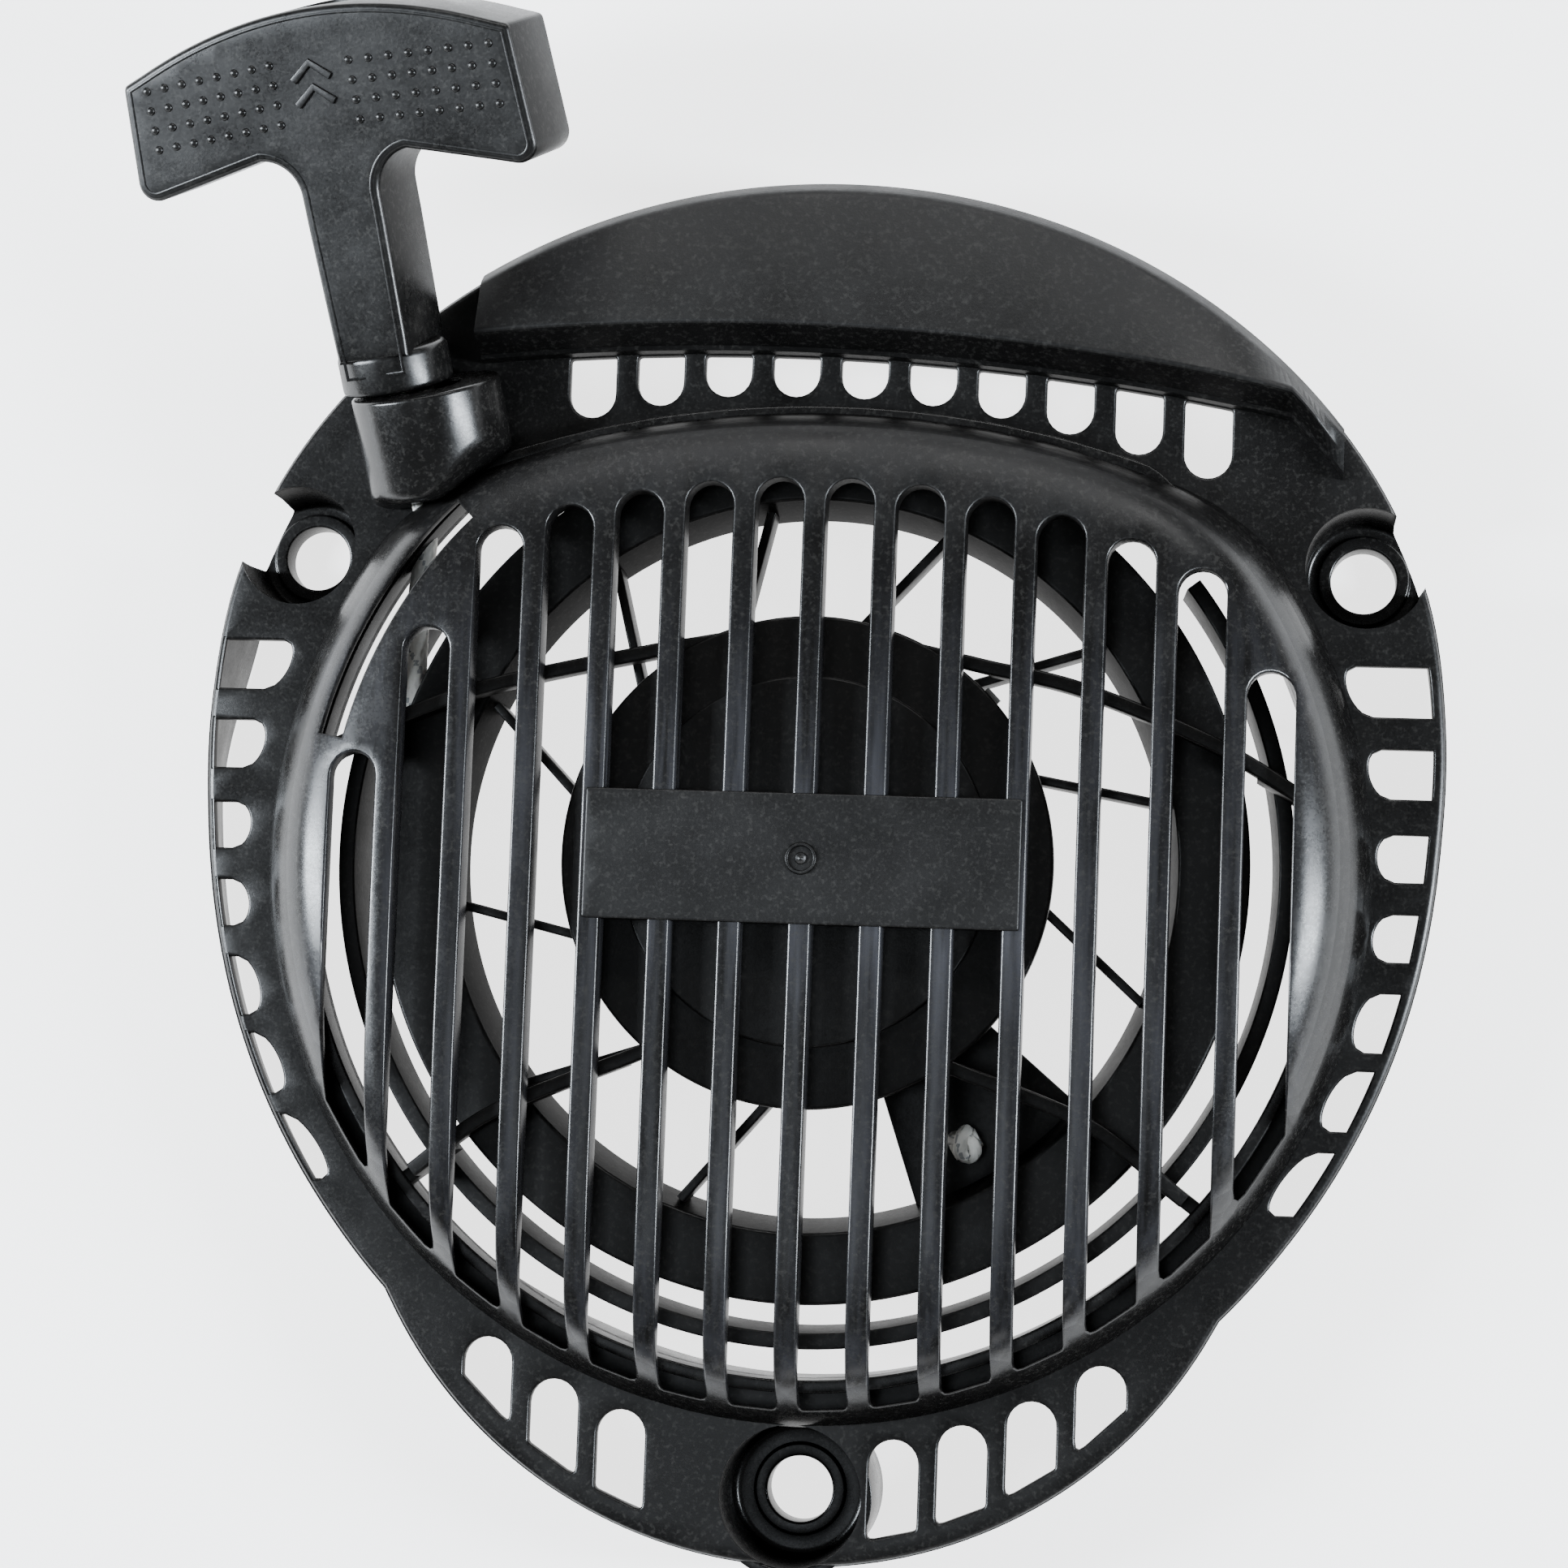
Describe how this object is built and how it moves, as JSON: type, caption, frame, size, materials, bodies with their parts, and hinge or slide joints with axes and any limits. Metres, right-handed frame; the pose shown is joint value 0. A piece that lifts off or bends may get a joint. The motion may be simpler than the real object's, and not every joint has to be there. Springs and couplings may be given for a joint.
{
  "type": "recoil starter",
  "caption": "Round pull-rope recoil starter housing with a barred grille, bolt bosses, rope pulley, pawls and a T-shaped pull handle.",
  "frame": {"origin": "centre of the label plate's outer face, on the crankshaft axis", "axes": "+Z along the crankshaft out of the grille, away from the engine; +Y to the hood side where the pull handle is"},
  "size_m": [0.2303, 0.2715, 0.0702],
  "materials": {
    "black_plastic": "satin moulded, fine grain",
    "handle_plastic": "satin moulded",
    "grey_nylon": "satin",
    "zinc_steel": "zinc plated",
    "spring_steel": "bright strip and wire",
    "rope": "braided"
  },
  "bodies": {
    "housing": {"starter_housing": "black_plastic", "housing_skirt_top": "black_plastic", "housing_skirt_left": "black_plastic", "housing_skirt_right": "black_plastic", "bolt_boss_right": "black_plastic", "bolt_boss_left": "black_plastic", "bolt_boss_bottom": "black_plastic", "pulley_shroud": "black_plastic", "rope_eyelet": "zinc_steel", "rope_run": "rope", "thrust_washer": "zinc_steel", "centre_screw": "zinc_steel", "brake_spring": "spring_steel"},
    "pulley": {"rope_pulley": "black_plastic", "spring_keeper": "zinc_steel", "recoil_spring": "spring_steel", "rope_winding": "rope", "pulley_rope_knot": "rope", "pawl_spring_a": "spring_steel", "pawl_spring_b": "spring_steel"},
    "retainer": {"pawl_retainer": "grey_nylon"},
    "pawl_a": {"pawl_a": "zinc_steel"},
    "pawl_b": {"pawl_b": "zinc_steel"},
    "handle": {"pull_handle": "handle_plastic", "handle_plug": "handle_plastic", "handle_rope": "rope", "handle_knot": "rope"}
  },
  "joints": [
    {"name": "pulley_spin", "type": "hinge", "parent": "housing", "child": "pulley", "pos_m": [0, 0, -0.0185], "axis": [0, 0, -1], "range_deg": [0, 810], "stiffness_Nm_per_rad": 0.02, "springref_deg": -1145.92, "deforming": ["recoil_spring", "rope_winding"]},
    {"name": "handle_pull", "type": "slide", "parent": "housing", "child": "handle", "axis": [-0.1718, 0.9269, 0.3338], "range_m": [0, 0.99]},
    {"name": "retainer_turn", "type": "hinge", "parent": "pulley", "child": "retainer", "pos_m": [0, 0, -0.0345], "axis": [0, 0, 1], "range_deg": [0, 25], "stiffness_Nm_per_rad": 0.004, "springref_deg": -17.19},
    {"name": "pawl_a_swing", "type": "hinge", "parent": "pulley", "child": "pawl_a", "pos_m": [0.02067, 0.00752, -0.029], "axis": [0, 0, -1], "range_deg": [0, 25]},
    {"name": "pawl_b_swing", "type": "hinge", "parent": "pulley", "child": "pawl_b", "pos_m": [-0.02067, -0.00752, -0.029], "axis": [0, 0, -1], "range_deg": [0, 25]}
  ],
  "couplings": [
    {"joint": "handle_pull", "follows": "pulley_spin", "m_per_rad": 0.07},
    {"joint": "pawl_a_swing", "follows": "retainer_turn", "ratio": 1},
    {"joint": "pawl_b_swing", "follows": "retainer_turn", "ratio": 1}
  ]
}
